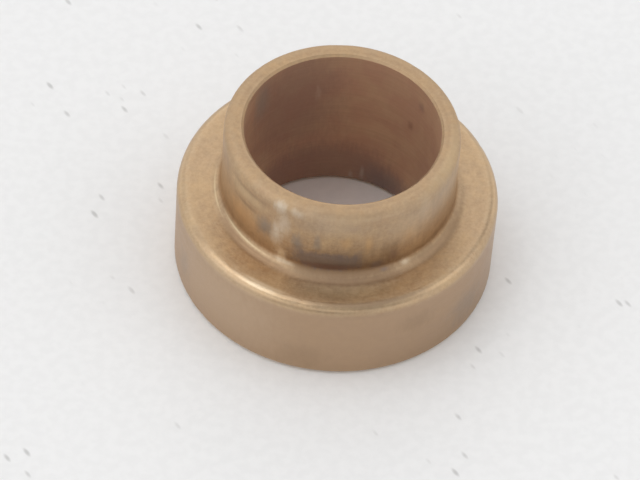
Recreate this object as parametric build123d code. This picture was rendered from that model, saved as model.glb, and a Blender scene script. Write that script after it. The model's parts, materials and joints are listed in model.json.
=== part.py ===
from build123d import *
import os

# Flanged bronze sleeve bushing, one turned piece. All sizes in mm.
# Origin: centre of the flange's seating face. +Z runs up the bore axis, out of the neck end.

# ---- driving sizes -------------------------------------------------------
BORE_D = 20.0            # running bore, straight through
WALL = 2.0               # neck wall, bore to the outside of the neck
FLANGE_D = 33.0          # outside of the flange
FLANGE_T = 10.0          # flange thickness, seating face to shoulder
TOTAL_H = 19.0           # seating face to neck end face

NECK_D = BORE_D + 2 * WALL               # outside of the neck, the press-fit spigot, 24
STEP = (FLANGE_D - NECK_D) / 2           # width of the shoulder, 4.5
NECK_L = TOTAL_H - FLANGE_T              # how far the neck stands out of the shoulder, 9

# ---- edges and corners, tied to the sizes above --------------------------
ROOT_R = STEP * 0.2667                   # fillet where the neck grows out of the shoulder, 1.2
RIM_R = FLANGE_T * 0.1                   # rounded upper edge of the flange, 1.0
SEAT_C = FLANGE_T * 0.04                 # broken lower edge of the flange, 0.4
LEAD_R = WALL * 0.45                     # rounded lead-in on the neck end, 0.9
BORE_TOP_C = WALL * 0.125                # broken bore mouth at the neck end, 0.25
BORE_SEAT_C = WALL * 0.25                # broken bore mouth at the flange end, 0.5


def turned_blank():
    """Flange with the neck standing on it, still solid, corners sharp."""
    flange = Cylinder(FLANGE_D / 2, FLANGE_T, align=(Align.CENTER, Align.CENTER, Align.MIN))
    neck = Pos(0, 0, FLANGE_T) * Cylinder(
        NECK_D / 2, NECK_L, align=(Align.CENTER, Align.CENTER, Align.MIN))
    return flange + neck


def ring_edge(body, radius, height):
    """The one circular edge of this radius lying at this height."""
    rings = body.edges().filter_by(GeomType.CIRCLE)
    found = [e for e in rings
             if abs(e.radius - radius) < 1e-4 and abs(e.center().Z - height) < 1e-4]
    if len(found) != 1:
        raise ValueError(f"expected one edge of radius {radius} at {height}, found {len(found)}")
    return found[0]


def dress_outside(body):
    """Root fillet, rounded flange rim, broken seating edge, rounded lead-in."""
    body = fillet(ring_edge(body, NECK_D / 2, FLANGE_T), ROOT_R)
    body = fillet(ring_edge(body, FLANGE_D / 2, FLANGE_T), RIM_R)
    body = chamfer(ring_edge(body, FLANGE_D / 2, 0), SEAT_C)
    return fillet(ring_edge(body, NECK_D / 2, TOTAL_H), LEAD_R)


def bore_through(body):
    """Straight running bore with a small break at each mouth."""
    body -= Cylinder(BORE_D / 2, TOTAL_H, align=(Align.CENTER, Align.CENTER, Align.MIN))
    body = chamfer(ring_edge(body, BORE_D / 2, TOTAL_H), BORE_TOP_C)
    return chamfer(ring_edge(body, BORE_D / 2, 0), BORE_SEAT_C)


def flanged_bushing():
    bushing = bore_through(dress_outside(turned_blank()))
    bushing.label = "flanged_bushing"
    return bushing


os.makedirs("parts", exist_ok=True)
export_step(flanged_bushing(), "parts/flanged_bushing.step")
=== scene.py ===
"""Flanged bronze sleeve bushing, standing on its flange on a sheet of pale paper."""

import json
import math

import bmesh
import bpy
from mathutils import Matrix, Vector, noise


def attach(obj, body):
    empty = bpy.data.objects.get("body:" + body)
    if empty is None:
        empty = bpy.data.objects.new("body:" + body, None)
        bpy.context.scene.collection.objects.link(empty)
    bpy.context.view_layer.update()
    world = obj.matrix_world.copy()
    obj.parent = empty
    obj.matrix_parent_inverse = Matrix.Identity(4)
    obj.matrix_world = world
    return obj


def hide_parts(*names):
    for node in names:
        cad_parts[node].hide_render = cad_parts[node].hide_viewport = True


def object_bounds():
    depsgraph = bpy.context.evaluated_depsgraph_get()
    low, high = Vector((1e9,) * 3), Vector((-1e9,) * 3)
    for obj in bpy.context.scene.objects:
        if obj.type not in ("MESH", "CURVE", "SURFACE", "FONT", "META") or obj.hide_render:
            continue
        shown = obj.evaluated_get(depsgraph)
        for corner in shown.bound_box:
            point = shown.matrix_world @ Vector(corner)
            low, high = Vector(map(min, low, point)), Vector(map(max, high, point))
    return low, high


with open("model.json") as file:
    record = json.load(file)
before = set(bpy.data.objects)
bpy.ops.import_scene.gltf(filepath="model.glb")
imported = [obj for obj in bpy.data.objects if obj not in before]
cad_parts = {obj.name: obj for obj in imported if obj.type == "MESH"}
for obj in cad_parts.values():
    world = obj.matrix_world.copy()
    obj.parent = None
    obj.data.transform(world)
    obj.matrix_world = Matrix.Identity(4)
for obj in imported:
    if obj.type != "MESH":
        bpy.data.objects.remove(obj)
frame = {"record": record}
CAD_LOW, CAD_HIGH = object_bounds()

bl_info = {
    "name": "Flanged Bronze Bushing",
    "version": (1, 0, 0),
    "blender": (4, 5, 0),
    "location": "3D View > Sidebar > Bushing",
    "description": "Builds a turned bronze flanged bushing and the stage it stands on",
    "category": "Add Mesh",
}

MM = 0.001
MOUNTS = {m["name"]: m for m in frame["record"]["mounts"]}
BORE = MOUNTS["bore"]["dims"]
NECK = MOUNTS["neck"]["dims"]
SHOULDER_Z = MOUNTS["shoulder"]["pos_m"][2]
BORE_FOOT = MOUNTS["bore"]["pos_m"][2] - BORE["length_mm"] * MM / 2
BORE_HEAD = MOUNTS["bore"]["pos_m"][2] + BORE["length_mm"] * MM / 2
NECK_FOOT = MOUNTS["neck"]["pos_m"][2] - NECK["length_mm"] * MM / 2
NECK_HEAD = MOUNTS["neck"]["pos_m"][2] + NECK["length_mm"] * MM / 2

# the same places in millimetres, for the materials
FLANGE_R = CAD_HIGH.x / MM
NECK_R = NECK["r_mm"]
SHOULDER_H = SHOULDER_Z / MM
TOP_H = CAD_HIGH.z / MM


# ---------------------------------------------------------------- settings


class BushingSizes(bpy.types.PropertyGroup):
    """Turned sizes of the bushing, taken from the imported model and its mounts."""

    flange_radius: bpy.props.FloatProperty(
        name="Flange radius", description="Outside radius of the flange",
        default=CAD_HIGH.x, unit="LENGTH", precision=5)
    flange_thickness: bpy.props.FloatProperty(
        name="Flange thickness", description="Seating face to shoulder",
        default=SHOULDER_Z, unit="LENGTH", precision=5)
    total_height: bpy.props.FloatProperty(
        name="Total height", description="Seating face to neck end face",
        default=CAD_HIGH.z, unit="LENGTH", precision=5)
    neck_radius: bpy.props.FloatProperty(
        name="Neck radius", description="Outside radius of the press-fit neck",
        default=NECK["r_mm"] * MM, unit="LENGTH", precision=5)
    bore_radius: bpy.props.FloatProperty(
        name="Bore radius", description="Radius of the running bore",
        default=BORE["r_mm"] * MM, unit="LENGTH", precision=5)
    root_fillet: bpy.props.FloatProperty(
        name="Root fillet", description="Fillet between the shoulder and the neck",
        default=NECK_FOOT - SHOULDER_Z, unit="LENGTH", precision=5)
    lead_in: bpy.props.FloatProperty(
        name="Lead-in rounding", description="Rounding on the outside of the neck end",
        default=CAD_HIGH.z - NECK_HEAD, unit="LENGTH", precision=5)
    rim_rounding: bpy.props.FloatProperty(
        name="Rim rounding", description="Rounding on the upper edge of the flange",
        default=1.0 * MM, unit="LENGTH", precision=5)
    seat_break: bpy.props.FloatProperty(
        name="Seat break", description="Broken lower edge of the flange",
        default=0.4 * MM, unit="LENGTH", precision=5)
    mouth_break: bpy.props.FloatProperty(
        name="Mouth break", description="Broken bore edge at the neck end",
        default=CAD_HIGH.z - BORE_HEAD, unit="LENGTH", precision=5)
    foot_break: bpy.props.FloatProperty(
        name="Foot break", description="Broken bore edge at the seating face",
        default=BORE_FOOT, unit="LENGTH", precision=5)
    steps_round: bpy.props.IntProperty(
        name="Steps round", description="Mesh steps round the axis", default=360, min=48)
    nick_depth: bpy.props.FloatProperty(
        name="Nick depth", description="Depth of the small dents along the worn edges",
        default=0.05 * MM, unit="LENGTH", precision=6)
    waver: bpy.props.FloatProperty(
        name="Waver", description="How far the turned walls wander from true",
        default=0.012 * MM, unit="LENGTH", precision=6)


class BronzeFinish(bpy.types.PropertyGroup):
    """Colours and gloss of the worn bronze."""

    gold: bpy.props.FloatVectorProperty(
        name="Gold", description="Clean rubbed bronze", subtype="COLOR",
        default=(0.565, 0.39, 0.225), min=0, max=1)
    tan: bpy.props.FloatVectorProperty(
        name="Tan", description="Lightly oxidised bronze", subtype="COLOR",
        default=(0.49, 0.335, 0.205), min=0, max=1)
    mauve: bpy.props.FloatVectorProperty(
        name="Mauve", description="Duller film on the flange's side", subtype="COLOR",
        default=(0.46, 0.32, 0.215), min=0, max=1)
    brown: bpy.props.FloatVectorProperty(
        name="Brown", description="Stained bronze in the corners", subtype="COLOR",
        default=(0.30, 0.20, 0.13), min=0, max=1)
    bright: bpy.props.FloatVectorProperty(
        name="Bright", description="Freshly rubbed edges and scuffs", subtype="COLOR",
        default=(0.86, 0.69, 0.46), min=0, max=1)
    bore_tint: bpy.props.FloatVectorProperty(
        name="Bore tint", description="Reddish film left in the bore", subtype="COLOR",
        default=(0.57, 0.345, 0.23), min=0, max=1)
    bore_film: bpy.props.FloatVectorProperty(
        name="Bore film", description="Browner patches in the bore", subtype="COLOR",
        default=(0.62, 0.41, 0.26), min=0, max=1)
    roughness: bpy.props.FloatProperty(
        name="Roughness", description="Roughness of the satin turned surface",
        default=0.44, min=0, max=1, subtype="FACTOR")


class StageLook(bpy.types.PropertyGroup):
    """Paper, light and camera."""

    paper: bpy.props.FloatVectorProperty(
        name="Paper", description="Pale surface that the bushing stands on", subtype="COLOR",
        default=(0.87, 0.87, 0.87), min=0, max=1)
    speck: bpy.props.FloatVectorProperty(
        name="Speck", description="Small dark fibres in the paper", subtype="COLOR",
        default=(0.25, 0.24, 0.23), min=0, max=1)
    room: bpy.props.FloatProperty(
        name="Room light", description="Strength of the light of the room",
        default=1.0, min=0)
    lens: bpy.props.FloatProperty(
        name="Lens", description="Focal length of the camera in millimetres", default=225.0)
    reach: bpy.props.FloatProperty(
        name="Reach", description="Distance from the camera to the foot of the axis",
        default=25.287 * CAD_HIGH.x, unit="LENGTH", precision=4)
    drop: bpy.props.FloatProperty(
        name="Drop", description="Angle of the camera above the paper",
        default=math.radians(49.29), subtype="ANGLE")
    roll: bpy.props.FloatProperty(
        name="Roll", description="Camera roll about its line of sight",
        default=math.radians(4.58), subtype="ANGLE")
    aside: bpy.props.FloatVectorProperty(
        name="Aside", description="Foot of the axis right of and below the middle of the view",
        default=(0.0802 * CAD_HIGH.x, 0.0645 * CAD_HIGH.x), size=2, unit="LENGTH", precision=5)


# ------------------------------------------------------------- turned body


def arc(centre, radius, start, end, steps):
    """Points on a quarter round in the profile plane, angles in degrees."""
    out = []
    for i in range(steps + 1):
        a = math.radians(start + (end - start) * i / steps)
        out.append((centre[0] + radius * math.cos(a), centre[1] + radius * math.sin(a)))
    return out


def run(a, b, pitch, hold=0.03 * MM):
    """Points from a to b, close together near both ends so that the corners stay crisp."""
    a, b = Vector(a), Vector(b)
    length = (b - a).length
    along = [0.0, hold, length - hold, length]
    if length > 4 * hold:
        steps = max(1, round((length - 2 * hold) / pitch))
        along[2:2] = [hold + (length - 2 * hold) * i / steps for i in range(1, steps)]
    else:
        along = [0.0, length]
    return [tuple(a + (b - a) * (s / length)) for s in along]


def bushing_profile(s):
    """Closed outline of the wall as (radius, height, zone), from the seating face round."""
    top, seat = s.total_height, 0.0
    rim, lead, root = s.rim_rounding, s.lead_in, s.root_fillet
    parts = [
        ("seat", run((s.bore_radius + s.foot_break, seat),
                     (s.flange_radius - s.seat_break, seat), 0.5 * MM)),
        ("edge", run((s.flange_radius - s.seat_break, seat),
                     (s.flange_radius, s.seat_break), 0.15 * MM)),
        ("side", run((s.flange_radius, s.seat_break),
                     (s.flange_radius, s.flange_thickness - rim), 0.35 * MM)),
        ("edge", arc((s.flange_radius - rim, s.flange_thickness - rim), rim, 0, 90, 12)),
        ("shoulder", run((s.flange_radius - rim, s.flange_thickness),
                         (s.neck_radius + root, s.flange_thickness), 0.2 * MM)),
        ("root", arc((s.neck_radius + root, s.flange_thickness + root), root, 270, 180, 16)),
        ("neck", run((s.neck_radius, s.flange_thickness + root),
                     (s.neck_radius, top - lead), 0.2 * MM)),
        ("edge", arc((s.neck_radius - lead, top - lead), lead, 0, 90, 12)),
        ("end", run((s.neck_radius - lead, top),
                    (s.bore_radius + s.mouth_break, top), 0.15 * MM)),
        ("edge", run((s.bore_radius + s.mouth_break, top),
                     (s.bore_radius, top - s.mouth_break), 0.1 * MM)),
        ("bore", run((s.bore_radius, top - s.mouth_break),
                     (s.bore_radius, s.foot_break), 0.4 * MM)),
        ("edge", run((s.bore_radius, s.foot_break),
                     (s.bore_radius + s.foot_break, seat), 0.15 * MM)),
    ]
    outline = []
    for zone, points in parts:
        outline += [(r, z, zone) for r, z in points[:-1]]
    return outline


def nearness(outline, zone, fade):
    """For each outline point, 1 inside the zone, falling to 0 over the fade length."""
    n = len(outline)
    values = []
    for i, (r, z, _) in enumerate(outline):
        best = math.inf
        for j, (rj, zj, name) in enumerate(outline):
            if name == zone:
                rk, zk, _ = outline[(j + 1) % n]
                best = min(best, math.hypot(r - rj, z - zj), math.hypot(r - rk, z - zk))
        t = max(0.0, 1.0 - best / fade)
        values.append(t * t * (3 - 2 * t))
    return values


def bumps_over(p, per_mm, start, least):
    """Scattered bumps, 0 where the noise stays under the least value and rising to 1 above it."""
    return max(0.0, noise.noise(p * per_mm + Vector(start)) - least) / (1.0 - least)


def out_of_true(point, edge, s):
    """Inward depth of waver and nicks at a point of the wall, never outward."""
    p = point / MM
    slow = noise.noise(p * 0.09 + Vector((3.1, 7.7, 1.3)))
    depth = s.waver * (0.5 + 0.5 * slow)
    if edge > 0.2:
        dent = bumps_over(p, 0.55, (9.0, 2.0, 5.0), 0.28)
        chip = bumps_over(p, 1.7, (1.0, 8.0, 4.0), 0.35)
        depth += edge * s.nick_depth * (1.3 * dent + 0.8 * chip)
    return depth


def turned_mesh(s):
    """The wall spun round the axis, with wear values kept on its points."""
    outline = bushing_profile(s)
    edge = nearness(outline, "edge", 0.45 * MM)
    n, m = len(outline), s.steps_round
    mesh = bpy.data.meshes.new("bushing_wall")
    bm = bmesh.new()
    wear = bm.verts.layers.float.new("edge_wear")
    rings = []
    for i, (r, z, zone) in enumerate(outline):
        before, after = outline[i - 1], outline[(i + 1) % n]
        tangent = Vector((after[0] - before[0], after[1] - before[1])).normalized()
        normal = Vector((tangent.y, -tangent.x))
        ring = []
        for k in range(m):
            a = 2 * math.pi * k / m
            ca, sa = math.cos(a), math.sin(a)
            deep = out_of_true(Vector((r * ca, r * sa, z)), edge[i], s)
            if zone == "seat":
                deep *= 0.2
            rr, zz = r - normal.x * deep, max(0.0, z - normal.y * deep)
            v = bm.verts.new((rr * ca, rr * sa, zz))
            v[wear] = edge[i]
            ring.append(v)
        rings.append(ring)
    for i in range(n):
        a, b = rings[i], rings[(i + 1) % n]
        inner = outline[i][2] == "bore"
        for k in range(m):
            face = bm.faces.new((a[k], a[(k + 1) % m], b[(k + 1) % m], b[k]))
            face.smooth = True
            face.material_index = 1 if inner else 0
    bmesh.ops.recalc_face_normals(bm, faces=bm.faces)
    bm.to_mesh(mesh)
    bm.free()
    return mesh


# ------------------------------------------------------------ shader groups


def add(tree, kind, at, values=None, **settings):
    """A node at a place in the tree, with its settings and unlinked socket values."""
    made = tree.nodes.new(kind)
    made.location = at
    for key, value in settings.items():
        setattr(made, key, value)
    for key, value in (values or {}).items():
        made.inputs[key].default_value = value
    return made


def new_group(name, inputs, outputs):
    """An empty shader group with named sockets, and its end nodes."""
    group = bpy.data.node_groups.new(name, "ShaderNodeTree")
    for label, kind, default in inputs:
        socket = group.interface.new_socket(label, in_out="INPUT", socket_type=kind)
        if default is not None:
            socket.default_value = default
    for label, kind in outputs:
        group.interface.new_socket(label, in_out="OUTPUT", socket_type=kind)
    ins = add(group, "NodeGroupInput", (-900, 0))
    outs = add(group, "NodeGroupOutput", (900, 0))
    return group, ins, outs


def grouped(tree, name, at, **values):
    """The named group placed in a tree with its own input values."""
    made = add(tree, "ShaderNodeGroup", at)
    made.node_tree = bpy.data.node_groups[name]
    made.label = name
    for key, value in values.items():
        made.inputs[key.replace("_", " ")].default_value = value
    return made


def maths(tree, operation, a, b, at, clamp=False):
    """A Math node on two sockets or numbers, giving its output socket."""
    made = add(tree, "ShaderNodeMath", at, operation=operation, use_clamp=clamp)
    for slot, value in enumerate((a, b)):
        if value is None:
            continue
        if isinstance(value, (int, float)):
            made.inputs[slot].default_value = value
        else:
            tree.links.new(value, made.inputs[slot])
    return made.outputs[0]


def mixed(tree, fac, a, b, at, blend="MIX"):
    """A colour Mix node, giving its output socket."""
    made = add(tree, "ShaderNodeMix", at, data_type="RGBA", blend_type=blend)
    for slot, value in ((0, fac), (6, a), (7, b)):
        if isinstance(value, (int, float)):
            made.inputs[slot].default_value = value
        elif isinstance(value, bpy.types.NodeSocket):
            tree.links.new(value, made.inputs[slot])
        else:
            made.inputs[slot].default_value = (*value, 1.0)
    return made.outputs[2]


def stretch(tree, value, low, high, at, out_low=0.0, out_high=1.0):
    """A smooth Map Range from low..high, giving its output socket."""
    made = add(tree, "ShaderNodeMapRange", at, interpolation_type="SMOOTHSTEP",
               values={"From Min": low, "From Max": high, "To Min": out_low, "To Max": out_high})
    tree.links.new(value, made.inputs["Value"])
    return made.outputs[0]


def lathe_space():
    """Position in millimetres, with radius, height and the angle from the front in degrees."""
    g, _, outs = new_group("Lathe Space", [], [
        ("Position", "NodeSocketVector"), ("Around", "NodeSocketVector"),
        ("Radius", "NodeSocketFloat"), ("Height", "NodeSocketFloat"), ("Angle", "NodeSocketFloat")])
    coords = add(g, "ShaderNodeTexCoord", (-900, -150))
    big = add(g, "ShaderNodeVectorMath", (-700, 0), operation="MULTIPLY")
    big.inputs[1].default_value = (1000, 1000, 1000)
    g.links.new(coords.outputs["Object"], big.inputs[0])
    flat = add(g, "ShaderNodeVectorMath", (-500, -150), operation="MULTIPLY")
    flat.inputs[1].default_value = (1, 1, 0)
    g.links.new(big.outputs[0], flat.inputs[0])
    length = add(g, "ShaderNodeVectorMath", (-300, -100), operation="LENGTH")
    unit = add(g, "ShaderNodeVectorMath", (-300, -250), operation="NORMALIZE")
    g.links.new(flat.outputs[0], length.inputs[0])
    g.links.new(flat.outputs[0], unit.inputs[0])
    split = add(g, "ShaderNodeSeparateXYZ", (-300, 100))
    g.links.new(big.outputs[0], split.inputs[0])
    ahead = maths(g, "MULTIPLY", split.outputs["Y"], -1.0, (-100, 250))
    angle = maths(g, "ARCTAN2", split.outputs["X"], ahead, (100, 250))
    angle = maths(g, "MULTIPLY", angle, 180 / math.pi, (300, 250))
    g.links.new(big.outputs[0], outs.inputs["Position"])
    g.links.new(unit.outputs[0], outs.inputs["Around"])
    g.links.new(length.outputs["Value"], outs.inputs["Radius"])
    g.links.new(split.outputs["Z"], outs.inputs["Height"])
    g.links.new(angle, outs.inputs["Angle"])


def turning_lines():
    """Fine rings left by the lathe tool, drifting a little round the axis."""
    g, ins, outs = new_group("Turning Lines", [
        ("Pitch", "NodeSocketFloat", 0.2), ("Drift", "NodeSocketFloat", 0.3)],
        [("Lines", "NodeSocketFloat")])
    space = grouped(g, "Lathe Space", (-900, -200))
    across = maths(g, "DIVIDE", space.outputs["Radius"], ins.outputs["Pitch"], (-650, 0))
    up = maths(g, "DIVIDE", space.outputs["Height"], ins.outputs["Pitch"], (-650, -150))
    turn = add(g, "ShaderNodeVectorMath", (-650, -350), operation="SCALE")
    g.links.new(space.outputs["Around"], turn.inputs[0])
    g.links.new(ins.outputs["Drift"], turn.inputs["Scale"])
    join = add(g, "ShaderNodeCombineXYZ", (-450, -50))
    g.links.new(across, join.inputs[0])
    g.links.new(up, join.inputs[1])
    where = add(g, "ShaderNodeVectorMath", (-250, -100), operation="ADD")
    g.links.new(join.outputs[0], where.inputs[0])
    g.links.new(turn.outputs[0], where.inputs[1])
    rings = add(g, "ShaderNodeTexNoise", (0, 0),
                values={"Scale": 1.0, "Detail": 2.0, "Roughness": 0.6})
    g.links.new(where.outputs[0], rings.inputs["Vector"])
    g.links.new(stretch(g, rings.outputs[0], 0.3, 0.7, (300, 0)), outs.inputs["Lines"])


def metal_grain():
    """Fine mottled grain of the alloy and scattered open pits."""
    g, ins, outs = new_group("Metal Grain", [
        ("Grain Size", "NodeSocketFloat", 0.25), ("Pit Size", "NodeSocketFloat", 0.5)],
        [("Grain", "NodeSocketFloat"), ("Pits", "NodeSocketFloat")])
    space = grouped(g, "Lathe Space", (-900, -200))
    fine = maths(g, "DIVIDE", 1.0, ins.outputs["Grain Size"], (-650, 100))
    coarse = maths(g, "DIVIDE", 1.0, ins.outputs["Pit Size"], (-650, -100))
    speck = add(g, "ShaderNodeTexNoise", (-350, 150), values={"Detail": 4.0, "Roughness": 0.65})
    cells = add(g, "ShaderNodeTexVoronoi", (-350, -150), feature="F1")
    for made, scale in ((speck, fine), (cells, coarse)):
        g.links.new(space.outputs["Position"], made.inputs["Vector"])
        g.links.new(scale, made.inputs["Scale"])
    g.links.new(stretch(g, speck.outputs[0], 0.28, 0.72, (0, 150)), outs.inputs["Grain"])
    g.links.new(stretch(g, cells.outputs["Distance"], 0.2, 0.08, (0, -150)), outs.inputs["Pits"])


def tarnish_patches():
    """Soft patches where the film on the metal is thicker, drawn out along the axis if wanted."""
    g, ins, outs = new_group("Tarnish Patches", [
        ("Patch Size", "NodeSocketFloat", 4.0), ("Drawn", "NodeSocketFloat", 1.0),
        ("Seed", "NodeSocketFloat", 0.0)], [("Patches", "NodeSocketFloat")])
    space = grouped(g, "Lathe Space", (-900, -200))
    shrink = add(g, "ShaderNodeCombineXYZ", (-850, 200), values={"X": 1.0, "Y": 1.0})
    g.links.new(maths(g, "DIVIDE", 1.0, ins.outputs["Drawn"], (-1050, 200)), shrink.inputs["Z"])
    where = add(g, "ShaderNodeVectorMath", (-600, 100), operation="MULTIPLY")
    g.links.new(space.outputs["Position"], where.inputs[0])
    g.links.new(shrink.outputs[0], where.inputs[1])
    scale = maths(g, "DIVIDE", 1.0, ins.outputs["Patch Size"], (-600, 300))
    cloud = add(g, "ShaderNodeTexNoise", (-350, 0), noise_dimensions="4D",
                values={"Detail": 5.0, "Roughness": 0.55, "Distortion": 0.4})
    g.links.new(where.outputs[0], cloud.inputs["Vector"])
    g.links.new(scale, cloud.inputs["Scale"])
    g.links.new(ins.outputs["Seed"], cloud.inputs["W"])
    g.links.new(stretch(g, cloud.outputs[0], 0.3, 0.7, (0, 0)), outs.inputs["Patches"])


def wall_mark():
    """A mark on the turned skin, its ragged edge drawn out along the axis, 1 at its middle.

    Along is the radius less the height, in mm: it grows from the neck's end face, down the neck,
    out over the shoulder and down the flange's side, so one number places a mark on the profile."""
    g, ins, outs = new_group("Wall Mark", [
        ("Angle", "NodeSocketFloat", 0.0), ("Along", "NodeSocketFloat", 0.0),
        ("Half Angle", "NodeSocketFloat", 10.0), ("Half Along", "NodeSocketFloat", 1.0),
        ("Soft", "NodeSocketFloat", 0.5), ("Ragged", "NodeSocketFloat", 0.5)],
        [("Mark", "NodeSocketFloat")])
    space = grouped(g, "Lathe Space", (-1300, -200))
    along = maths(g, "SUBTRACT", space.outputs["Radius"], space.outputs["Height"], (-1100, -300))
    powers = []
    for i, (name, place) in enumerate((("Angle", space.outputs["Angle"]), ("Along", along))):
        off = maths(g, "SUBTRACT", place, ins.outputs[name], (-900, 200 - 200 * i))
        off = maths(g, "PINGPONG", off, 180.0, (-700, 200 - 200 * i))
        off = maths(g, "DIVIDE", off, ins.outputs["Half " + name], (-500, 200 - 200 * i))
        powers.append(maths(g, "POWER", off, 2.5, (-300, 200 - 200 * i)))
    away = maths(g, "POWER", maths(g, "ADD", powers[0], powers[1], (-100, 100)), 0.4, (50, 100))
    where = add(g, "ShaderNodeCombineXYZ", (-500, -300))
    g.links.new(maths(g, "DIVIDE", space.outputs["Angle"], 2.2, (-700, -250)), where.inputs[0])
    g.links.new(maths(g, "DIVIDE", along, 1.6, (-700, -400)), where.inputs[1])
    # the third place in the noise differs from mark to mark, so their edges aren't alike
    g.links.new(ins.outputs["Half Angle"], where.inputs[2])
    torn = add(g, "ShaderNodeTexNoise", (-300, -300),
               values={"Scale": 1.0, "Detail": 5.0, "Roughness": 0.65})
    g.links.new(where.outputs[0], torn.inputs["Vector"])
    torn = maths(g, "SUBTRACT", torn.outputs[0], 0.5, (-100, -300))
    torn = maths(g, "MULTIPLY", torn, ins.outputs["Ragged"], (50, -300))
    edge = maths(g, "ADD", away, torn, (200, 0))
    fade = add(g, "ShaderNodeMapRange", (550, 0), interpolation_type="SMOOTHSTEP",
               values={"From Min": 1.0})
    g.links.new(edge, fade.inputs["Value"])
    g.links.new(maths(g, "SUBTRACT", 1.0, ins.outputs["Soft"], (350, -200)), fade.inputs["From Max"])
    g.links.new(fade.outputs[0], outs.inputs["Mark"])


def build_groups():
    """Every shared group, each made once."""
    for name, build in (("Lathe Space", lathe_space), ("Turning Lines", turning_lines),
                        ("Metal Grain", metal_grain), ("Tarnish Patches", tarnish_patches),
                        ("Wall Mark", wall_mark)):
        if name not in bpy.data.node_groups:
            build()


# ---------------------------------------------------------------- materials


def bare_material(name):
    """A material whose tree holds only its output and a Principled shader."""
    material = bpy.data.materials.new(name)
    material.use_nodes = True
    tree = material.node_tree
    tree.nodes.clear()
    out = add(tree, "ShaderNodeOutputMaterial", (1500, 0))
    shader = add(tree, "ShaderNodeBsdfPrincipled", (1200, 0))
    tree.links.new(shader.outputs[0], out.inputs["Surface"])
    return material, tree, shader


def bumped(tree, shader, layers, distance):
    """One bump from weighted height layers, feeding the shader's normal."""
    total = None
    for i, (value, weight) in enumerate(layers):
        part = maths(tree, "MULTIPLY", value, weight, (500, -600 - 160 * i))
        total = part if total is None else maths(tree, "ADD", total, part, (700, -600 - 160 * i))
    bump = add(tree, "ShaderNodeBump", (950, -500), values={"Strength": 1.0, "Distance": distance})
    tree.links.new(total, bump.inputs["Height"])
    tree.links.new(bump.outputs[0], shader.inputs["Normal"])


def bearing(degrees):
    """Unit direction round the axis, 0 at the front (-Y) and positive to the right."""
    a = math.radians(degrees)
    return Vector((math.sin(a), -math.cos(a), 0.0))


def mark_share(tree, place, strength, at):
    """How much of the skin one mark covers, from its six numbers in a table and its strength."""
    angle, along, half_angle, half_along, soft, ragged = place
    spot = grouped(tree, "Wall Mark", at, Angle=angle, Along=along, Half_Angle=half_angle,
                   Half_Along=half_along, Soft=soft, Ragged=ragged)
    return maths(tree, "MULTIPLY", spot.outputs[0], strength, (at[0] + 200, at[1]))


def marked(tree, colour, marks, at):
    """The colour with every mark of a table laid over it, one after the other."""
    for i, (*place, tint, strength) in enumerate(marks):
        share = mark_share(tree, place, strength, (at[0], at[1] + 200 * i))
        colour = mixed(tree, share, colour, tint, (at[0] + 400, at[1] + 200 * i))
    return colour


def dulled(tree, marks, at):
    """The strongest share of a table of dull marks, at each point of the skin."""
    dull = 0.0
    for i, (*place, strength) in enumerate(marks):
        share = mark_share(tree, place, strength, (at[0], at[1] - 250 * i))
        dull = maths(tree, "MAXIMUM", share, dull, (at[0] + 400, at[1] - 250 * i))
    return dull


# tints of the film, the smears and the rubbed metal, and of the painted highlights, painted shade and
# painted reflections
SIENNA = (0.285, 0.18, 0.105)
SOOT_AND_SHADE = (0.10, 0.065, 0.055)
SMUT_AND_SHADE = (0.205, 0.18, 0.19)
SLATE = (0.27, 0.25, 0.235)
RUST = (0.34, 0.175, 0.12)
UMBER = (0.27, 0.185, 0.115)
PLUM = (0.24, 0.155, 0.145)
AMBER = (0.66, 0.42, 0.21)
STRAW = (0.74, 0.60, 0.38)
CHALK_AND_HIGHLIGHT = (0.86, 0.74, 0.56)
ASH_AND_HIGHLIGHT = (0.76, 0.71, 0.62)
BUFF = (0.66, 0.51, 0.37)

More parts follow.
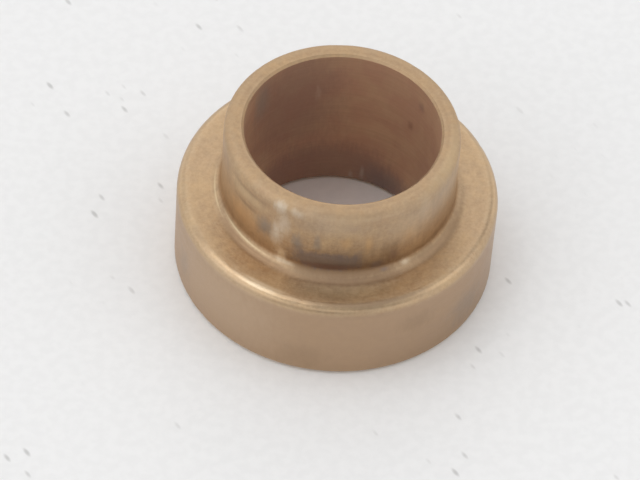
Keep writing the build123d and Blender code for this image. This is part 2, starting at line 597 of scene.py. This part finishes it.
SKIN_MARKS = (
    # angle, along, half angle, half along, softness, raggedness, tint, strength
    # darker in the corner between neck and shoulder
    (6, 1.3, 38, 1.4, 0.55, 0.5, SIENNA, 0.70),
    (10, 2.75, 38, 0.8, 0.6, 0.4, SIENNA, 0.66),
    (-42, 2.65, 32, 0.75, 0.6, 0.4, SIENNA, 0.74),
    (60, 2.5, 34, 1.0, 0.7, 0.5, SIENNA, 0.62),
    (47, 1.9, 10, 0.9, 0.8, 0.5, UMBER, 0.35),
    (-13, 1.9, 10, 1.3, 0.8, 0.5, UMBER, 0.40),
    # the dark band round the front of the neck: a painted reflection of the shoulder, with smeared
    # stain in it
    (6, -0.5, 34, 2.7, 0.90, 1.4, UMBER, 0.36),
    (-3, -0.1, 22, 1.55, 0.45, 0.9, SMUT_AND_SHADE, 0.60),
    (-2, 0.6, 19, 0.6, 0.90, 0.6, RUST, 0.40),
    (0, 0.45, 17, 0.7, 0.90, 0.6, SOOT_AND_SHADE, 0.22),
    (22, 0.5, 5, 0.9, 0.9, 0.8, SMUT_AND_SHADE, 0.50),
    (-16, -1.0, 5.0, 1.4, 0.8, 1.2, SMUT_AND_SHADE, 0.30),
    (5, -0.9, 5.0, 1.3, 0.8, 1.2, SMUT_AND_SHADE, 0.22),
    (12, -0.8, 3.2, 1.7, 0.8, 1.0, SMUT_AND_SHADE, 0.38),
    (28, -1.0, 6.5, 2.2, 0.7, 1.2, UMBER, 0.45),
    (31, -0.2, 4.0, 1.2, 0.8, 1.2, PLUM, 0.35),
    (-18, -2.1, 4, 1.9, 0.9, 1.2, SLATE, 0.60),
    (-8, -2.7, 3, 1.7, 0.9, 1.2, SLATE, 0.45),
    (17, -2.8, 3.0, 1.7, 0.9, 0.9, AMBER, 0.55),
    (6, -3.1, 4.5, 1.2, 0.9, 0.9, AMBER, 0.45),
    (-12, -4.8, 14, 1.0, 0.95, 1.0, UMBER, 0.25),
    (9, -5.3, 9, 0.8, 0.95, 1.2, PLUM, 0.16),
    # grey smear on the left of the neck, bands that are partly turned rings and partly a painted
    # reflection of the flange's rim, and a painted highlight down the neck
    (-36, -2.2, 8.0, 2.0, 0.95, 1.0, SLATE, 0.66),
    (-52, -1.5, 15, 2.2, 0.9, 0.7, AMBER, 0.40),
    (-49, -3.25, 14, 0.42, 0.95, 0.6, UMBER, 0.50),
    (-49, -4.6, 20, 1.0, 0.95, 0.6, STRAW, 0.30),
    (-49, -5.4, 20, 0.4, 0.95, 0.6, UMBER, 0.35),
    # painted highlight of the lamp: a pale streak down the neck, and at its foot a pale scuff that is
    # partly painted highlight
    (-25.5, -4.0, 5.5, 2.6, 0.98, 0.9, ASH_AND_HIGHLIGHT, 0.34),
    (-29, -2.2, 5.0, 2.4, 0.98, 1.2, ASH_AND_HIGHLIGHT, 0.52),
    (-28, -6.4, 5.0, 1.4, 0.98, 1.2, ASH_AND_HIGHLIGHT, 0.52),
    (-19, -6.3, 5.0, 0.9, 0.95, 1.4, ASH_AND_HIGHLIGHT, 0.28),
    (-26, 0.7, 4.5, 1.5, 0.95, 1.0, CHALK_AND_HIGHLIGHT, 0.70),
    (-22, 1.4, 6.0, 0.5, 0.9, 0.7, CHALK_AND_HIGHLIGHT, 0.35),
    # a painted highlight along the left of the corner between neck and shoulder, and two crumbs in the
    # corner
    (-50, 1.80, 24, 0.24, 0.9, 0.5, STRAW, 0.75),
    (-80, 2.5, 20, 0.2, 0.9, 0.5, STRAW, 0.60),
    (37, 1.5, 3.6, 0.8, 0.95, 1.2, CHALK_AND_HIGHLIGHT, 0.48),
    (25.5, 1.6, 3.0, 0.5, 0.9, 0.8, SMUT_AND_SHADE, 0.40),
    # soft smears over the front and the right of the neck
    (47, -5.0, 5, 2.6, 0.95, 1.0, CHALK_AND_HIGHLIGHT, 0.14),
    (38, -2.6, 4, 1.6, 0.95, 1.2, AMBER, 0.35),
    (54, -3.4, 4, 2.2, 0.95, 1.2, PLUM, 0.12),
    (68, -4.5, 24, 3.0, 0.95, 0.6, ASH_AND_HIGHLIGHT, 0.12),
    (62, -1.8, 18, 3.0, 0.95, 0.8, PLUM, 0.06),
    (45, -4.0, 36, 4.0, 0.9, 0.5, ASH_AND_HIGHLIGHT, 0.16),
    (0, -5.6, 28, 2.4, 0.9, 0.6, ASH_AND_HIGHLIGHT, 0.13),
    # the rounded end of the neck
    (0, -7.4, 32, 1.2, 0.95, 0.6, UMBER, 0.16),
    (75, -7.4, 32, 1.2, 0.95, 0.6, STRAW, 0.26),
    # shoulder lighter at the front; painted shade on the rim at the front and round the edges of its
    # highlight, and a painted highlight on the rim at the left front
    (4, 4.3, 36, 1.4, 0.9, 0.7, STRAW, 0.32),
    (13, 5.80, 34, 0.45, 0.7, 0.4, UMBER, 0.75),
    (18, 6.2, 30, 0.5, 0.9, 0.4, UMBER, 0.40),
    (14, 7.2, 32, 1.0, 0.9, 0.6, UMBER, 0.22),
    (-26, 5.45, 15, 0.45, 0.9, 0.4, CHALK_AND_HIGHLIGHT, 0.62),
    (-28, 5.95, 11, 0.4, 0.95, 0.4, CHALK_AND_HIGHLIGHT, 0.45),
    (-24, 6.8, 36, 0.45, 0.9, 0.3, UMBER, 0.55),
    (-58, 5.9, 10, 0.6, 0.9, 0.5, UMBER, 0.35),
    # the flange's side: painted light on its left, and a few grey and brown clouds
    (-46, 12.0, 42, 8.0, 0.8, 0.5, BUFF, 0.36),
    (58, 13.0, 13, 3.2, 0.9, 1.2, SLATE, 0.30),
    (33, 10.2, 10, 2.0, 0.9, 1.2, UMBER, 0.22),
    (-8, 14.0, 13, 2.2, 0.9, 1.2, UMBER, 0.18),
    (-66, 12.5, 7, 3.0, 0.9, 1.2, SLATE, 0.22),
)
DULL_MARKS = (
    # where dirt hides the metal: angle, along, half angle, half along, softness, raggedness, strength
    (7, 2.7, 42, 2.0, 0.95, 0.8, 0.50),
    (14, 5.85, 38, 0.8, 0.9, 0.5, 0.30),
)
BORE_MARKS = (
    # columns as for the skin; in the bore, along grows from the mouth at the neck down to the seat
    # painted shadow: the left and lower bore darkened below the edge of the light coming in at the
    # mouth
    (212, -3.0, 42, 11.0, 0.7, 0.5, PLUM, 0.42),
    (190, 9.0, 63, 5.8, 0.5, 0.5, PLUM, 0.50),
    (150, 9.0, 26, 3.6, 0.9, 0.6, SMUT_AND_SHADE, 0.60),
    (238, -6.0, 11, 4.0, 0.9, 0.7, SLATE, 0.48),
    (136, -2.2, 3.5, 0.9, 0.9, 0.7, RUST, 0.60),
    (128, -6.2, 4.0, 1.0, 0.9, 0.8, PLUM, 0.35),
    (166, 8.6, 2.2, 1.4, 0.98, 1.2, ASH_AND_HIGHLIGHT, 0.24),
    (173, 9.1, 2.0, 1.1, 0.98, 1.2, ASH_AND_HIGHLIGHT, 0.20),
    (196, -3.6, 2.4, 1.4, 0.95, 1.6, CHALK_AND_HIGHLIGHT, 0.14),
)


def worn_bronze(f):
    """Satin turned bronze for the outside: gold where handled, tan and brown elsewhere, with painted
    highlights, shade and reflections among its marks.
    """
    material, tree, shader = bare_material("worn_bronze")
    link = tree.links.new
    space = grouped(tree, "Lathe Space", (-900, 500))
    lines = grouped(tree, "Turning Lines", (-900, 300), Pitch=0.22, Drift=0.5)
    broad = grouped(tree, "Turning Lines", (-900, 100), Pitch=0.9, Drift=1.1)
    grain = grouped(tree, "Metal Grain", (-900, -100), Grain_Size=0.3, Pit_Size=0.7)
    patches = grouped(tree, "Tarnish Patches", (-900, -300), Patch_Size=3.6, Seed=1.7)
    blotch = grouped(tree, "Tarnish Patches", (-900, -500), Patch_Size=0.9, Seed=6.2)
    drawn = grouped(tree, "Tarnish Patches", (-900, -700), Patch_Size=0.55, Drawn=5.0, Seed=2.9)
    wear = add(tree, "ShaderNodeAttribute", (-900, -900), attribute_name="edge_wear")

    colour = mixed(tree, patches.outputs[0], f.tan, f.gold, (-500, 200))
    film = maths(tree, "MULTIPLY", blotch.outputs[0], 0.34, (-500, 0))
    colour = mixed(tree, film, colour, f.brown, (-300, 200))
    ringed = maths(tree, "MULTIPLY", lines.outputs[0], 0.08, (-300, 0))
    colour = mixed(tree, ringed, colour, f.brown, (-100, 200))
    speck = maths(tree, "MULTIPLY", grain.outputs["Grain"], 0.20, (-100, 0))
    colour = mixed(tree, speck, colour, f.bright, (100, 200))
    outer = stretch(tree, space.outputs["Radius"], FLANGE_R - 0.3, FLANGE_R - 0.02, (-300, 700))
    low = stretch(tree, space.outputs["Height"], SHOULDER_H - 0.5, SHOULDER_H - 1.1, (-300, 500))
    side = maths(tree, "MULTIPLY", outer, low, (-100, 600))
    side = maths(tree, "MULTIPLY", side, 0.8, (100, 600))
    colour = mixed(tree, side, colour, f.mauve, (300, 200))
    neck = stretch(tree, space.outputs["Radius"], NECK_R + 1.6, NECK_R + 0.6, (100, 0), out_high=0.2)
    scored = maths(tree, "MULTIPLY", drawn.outputs[0], neck, (300, 0))
    colour = mixed(tree, scored, colour, f.brown, (400, 200))
    rubbed = maths(tree, "MULTIPLY", wear.outputs["Fac"], 0.15, (100, -200))
    rubbed = maths(tree, "MULTIPLY", rubbed, blotch.outputs[0], (300, -200))
    colour = mixed(tree, rubbed, colour, f.bright, (500, 200))
    link(marked(tree, colour, SKIN_MARKS, (500, 400)), shader.inputs["Base Color"])

    gloss = maths(tree, "MULTIPLY", patches.outputs[0], 0.06, (300, -400))
    gloss = maths(tree, "ADD", gloss, f.roughness - 0.07, (500, -400))
    fine = maths(tree, "MULTIPLY", grain.outputs["Grain"], 0.08, (500, -550))
    gloss = maths(tree, "ADD", gloss, fine, (700, -400))
    head = stretch(tree, space.outputs["Height"], TOP_H - 2.5, TOP_H - 0.5, (500, -700), out_high=0.16)
    gloss = maths(tree, "ADD", gloss, head, (850, -400))
    near_rim = stretch(tree, space.outputs["Radius"], FLANGE_R - 1.2, FLANGE_R - 0.7, (300, -850))
    on_top = stretch(tree, space.outputs["Height"], SHOULDER_H - 1.2, SHOULDER_H - 0.6, (300, -1000))
    rim = maths(tree, "MULTIPLY", near_rim, on_top, (500, -900))
    rim = maths(tree, "MULTIPLY", rim, -0.10, (650, -900))
    gloss = maths(tree, "ADD", gloss, rim, (1000, -400))
    dull = dulled(tree, DULL_MARKS, (700, -1200))
    link(maths(tree, "SUBTRACT", 1.0, dull, (1200, -1000)), shader.inputs["Metallic"])
    matt = maths(tree, "MULTIPLY", dull, 0.15, (1200, -800))
    link(maths(tree, "ADD", gloss, matt, (1350, -400)), shader.inputs["Roughness"])
    bumped(tree, shader, [(lines.outputs[0], 0.25), (broad.outputs[0], 0.8),
                          (grain.outputs["Grain"], 0.35), (grain.outputs["Pits"], -0.5)], 0.012 * MM)
    return material


def bore_bronze(f):
    """Running surface of the bore: redder film, round scratches, and painted shadow over its lower and
    left parts.
    """
    material, tree, shader = bare_material("bore_bronze")
    link = tree.links.new
    lines = grouped(tree, "Turning Lines", (-900, 300), Pitch=0.3, Drift=0.8)
    grain = grouped(tree, "Metal Grain", (-900, 0), Grain_Size=0.35, Pit_Size=0.8)
    patches = grouped(tree, "Tarnish Patches", (-900, -300), Patch_Size=3.0, Seed=4.4)
    colour = mixed(tree, patches.outputs[0], f.bore_tint, f.bore_film, (-400, 200))
    ringed = maths(tree, "MULTIPLY", lines.outputs[0], 0.15, (-500, 400))
    colour = mixed(tree, ringed, colour, f.brown, (-100, 200))
    link(marked(tree, colour, BORE_MARKS, (100, 400)), shader.inputs["Base Color"])
    gloss = maths(tree, "MULTIPLY", grain.outputs["Grain"], 0.1, (200, -100))
    gloss = maths(tree, "ADD", gloss, f.roughness + 0.05, (400, -100))
    link(gloss, shader.inputs["Roughness"])
    shader.inputs["Metallic"].default_value = 0.5
    bumped(tree, shader, [(lines.outputs[0], 0.4), (grain.outputs["Grain"], 0.4)], 0.01 * MM)
    return material


def speckled_paper(look):
    """Pale matt paper with a faint tooth and a few small dark fibres."""
    material, tree, shader = bare_material("speckled_paper")
    link = tree.links.new
    coords = add(tree, "ShaderNodeTexCoord", (-900, 0))
    tooth = add(tree, "ShaderNodeTexNoise", (-600, 200), values={"Scale": 900.0, "Detail": 4.0})
    slant = add(tree, "ShaderNodeMapping", (-750, -150), vector_type="TEXTURE",
                values={"Rotation": (0, 0, -0.9), "Scale": (1.0, 0.38, 1.0)})
    link(coords.outputs["Object"], slant.inputs["Vector"])
    specks = add(tree, "ShaderNodeTexVoronoi", (-600, -100), values={"Scale": 230.0, "Randomness": 1.0})
    link(slant.outputs[0], specks.inputs["Vector"])
    thin = add(tree, "ShaderNodeTexNoise", (-600, -400), values={"Scale": 90.0, "Detail": 3.0})
    for made in (tooth, thin):
        link(coords.outputs["Object"], made.inputs["Vector"])
    dots = stretch(tree, specks.outputs["Distance"], 0.19, 0.05, (-300, -100))
    here = stretch(tree, thin.outputs[0], 0.49, 0.60, (-300, -400))
    dots = maths(tree, "MULTIPLY", dots, here, (0, -100))
    dots = maths(tree, "MULTIPLY", dots, 0.42, (200, -100))
    base = mixed(tree, stretch(tree, tooth.outputs[0], 0.35, 0.65, (-300, 200)),
                 look.paper, [c * 0.97 for c in look.paper], (0, 200))
    colour = mixed(tree, dots, base, look.speck, (400, 200))
    link(colour, shader.inputs["Base Color"])
    shader.inputs["Roughness"].default_value = 0.85
    shader.inputs["Specular IOR Level"].default_value = 0.2
    bumped(tree, shader, [(tooth.outputs[0], 1.0)], 0.02 * MM)
    return material


# ---------------------------------------------------------------- operators


class BUSHING_OT_turned_body(bpy.types.Operator):
    """Turn the bushing's wall with its worn edges and bronze finish"""

    bl_idname = "bushing.turned_body"
    bl_label = "Turned Body"
    bl_options = {"REGISTER", "UNDO"}

    def execute(self, context):
        scene = context.scene
        build_groups()
        body = bpy.data.objects.new("turned_body", turned_mesh(scene.bushing_sizes))
        scene.collection.objects.link(body)
        body.data.materials.append(worn_bronze(scene.bushing_finish))
        body.data.materials.append(bore_bronze(scene.bushing_finish))
        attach(body, "root")
        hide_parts("flanged_bushing")
        return {"FINISHED"}


LAMPS = (
    # the light of the room: angle round from the front, height above the paper, tightness, strength
    # low light from the four corners of the table, and less of it from the right
    (-135, 8, 12, 1.5),
    (-45, 8, 12, 1.5),
    (45, 8, 12, 1.5),
    (135, 8, 12, 1.5),
    (90, 8, 12, 1.0),
    # a window in each wall, the one behind the strongest
    (180, 30, 12, 2.0),
    (-80, 30, 7, 1.5),
    (0, 30, 12, 1.3),
    (90, 50, 12, 1.8),
    # the ceiling, brighter towards the left
    (-120, 75, 9, 1.7),
    # two small bright lamps on the left
    (-40, 35, 60, 1.3),
    (-88, 66, 60, 1.9),
)


def lamp_glow(tree, direction, angle, height, tightness, down):
    """A soft round glow of the room, 1 towards its middle and fading all round it."""
    rise = math.radians(height)
    near = add(tree, "ShaderNodeVectorMath", (-300, down), operation="DOT_PRODUCT")
    near.inputs[1].default_value = bearing(angle) * math.cos(rise) + Vector((0, 0, math.sin(rise)))
    tree.links.new(direction, near.inputs[0])
    fall = maths(tree, "SUBTRACT", near.outputs["Value"], 1.0, (-100, down))
    fall = maths(tree, "MULTIPLY", fall, tightness, (100, down))
    return maths(tree, "EXPONENT", fall, None, (300, down))


class BUSHING_OT_stage(bpy.types.Operator):
    """Lay the paper, light the room and set the camera"""

    bl_idname = "bushing.stage"
    bl_label = "Stage"
    bl_options = {"REGISTER", "UNDO"}

    def execute(self, context):
        scene = context.scene
        look = scene.bushing_stage
        self.lay_paper(scene, look)
        self.light_room(scene, look)
        self.set_camera(scene, look)
        scene.view_settings.view_transform = "Standard"
        scene.view_settings.look = "None"
        return {"FINISHED"}

    def lay_paper(self, scene, look):
        mesh = bpy.data.meshes.new("paper")
        bm = bmesh.new()
        bmesh.ops.create_grid(bm, x_segments=24, y_segments=24, size=1.5)
        bm.to_mesh(mesh)
        bm.free()
        paper = bpy.data.objects.new("paper", mesh)
        paper.location.z = CAD_LOW.z - 0.01 * MM
        scene.collection.objects.link(paper)
        paper.data.materials.append(speckled_paper(look))

    def light_room(self, scene, look):
        world = bpy.data.worlds.new("room")
        world.use_nodes = True
        tree = world.node_tree
        tree.nodes.clear()
        out = add(tree, "ShaderNodeOutputWorld", (1400, 0))
        back = add(tree, "ShaderNodeBackground", (1200, 0))
        coords = add(tree, "ShaderNodeTexCoord", (-600, 0))
        total = None
        for i, (angle, height, tightness, strength) in enumerate(LAMPS):
            glow = lamp_glow(tree, coords.outputs["Generated"], angle, height, tightness, -180 * i)
            glow = maths(tree, "MULTIPLY", glow, strength * look.room, (500, -180 * i))
            total = glow if total is None else maths(tree, "ADD", total, glow, (700, -180 * i))
        tree.links.new(total, back.inputs["Strength"])
        tree.links.new(back.outputs[0], out.inputs["Surface"])
        scene.world = world

    def set_camera(self, scene, look):
        c, s = math.cos(look.roll), math.sin(look.roll)
        ce, se = math.cos(look.drop), math.sin(look.drop)
        right, down, ahead = Vector((1, 0, 0)), Vector((0, -se, -ce)), Vector((0, ce, -se))
        across, below = c * right - s * down, s * right + c * down
        camera = bpy.data.cameras.new("camera")
        camera.lens, camera.sensor_width = look.lens, 36.0
        camera.clip_start, camera.clip_end = 0.01, 10.0
        seat = bpy.data.objects.new("camera", camera)
        place = -(look.aside[0] * across + look.aside[1] * below + look.reach * ahead)
        turn = Matrix((across, -below, -ahead)).transposed()
        seat.matrix_world = Matrix.Translation(place) @ turn.to_4x4()
        scene.collection.objects.link(seat)
        scene.camera = seat


class BUSHING_PT_panel(bpy.types.Panel):
    """Bushing tools in the sidebar"""

    bl_idname = "BUSHING_PT_panel"
    bl_label = "Flanged Bushing"
    bl_space_type = "VIEW_3D"
    bl_region_type = "UI"
    bl_category = "Bushing"

    def draw(self, context):
        scene, layout = context.scene, self.layout
        for group, label, operator in (
                (scene.bushing_sizes, "Sizes", None),
                (scene.bushing_finish, "Finish", "bushing.turned_body"),
                (scene.bushing_stage, "Stage", "bushing.stage")):
            box = layout.box()
            box.label(text=label)
            for name in group.__annotations__:
                box.prop(group, name)
            if operator:
                box.operator(operator)


CLASSES = (BushingSizes, BronzeFinish, StageLook,
           BUSHING_OT_turned_body, BUSHING_OT_stage, BUSHING_PT_panel)


def register():
    for cls in CLASSES:
        bpy.utils.register_class(cls)
    bpy.types.Scene.bushing_sizes = bpy.props.PointerProperty(type=BushingSizes)
    bpy.types.Scene.bushing_finish = bpy.props.PointerProperty(type=BronzeFinish)
    bpy.types.Scene.bushing_stage = bpy.props.PointerProperty(type=StageLook)


def unregister():
    del bpy.types.Scene.bushing_stage
    del bpy.types.Scene.bushing_finish
    del bpy.types.Scene.bushing_sizes
    for cls in reversed(CLASSES):
        bpy.utils.unregister_class(cls)


def main():
    register()
    bpy.ops.bushing.turned_body()
    bpy.ops.bushing.stage()


if __name__ == "__main__":
    main()
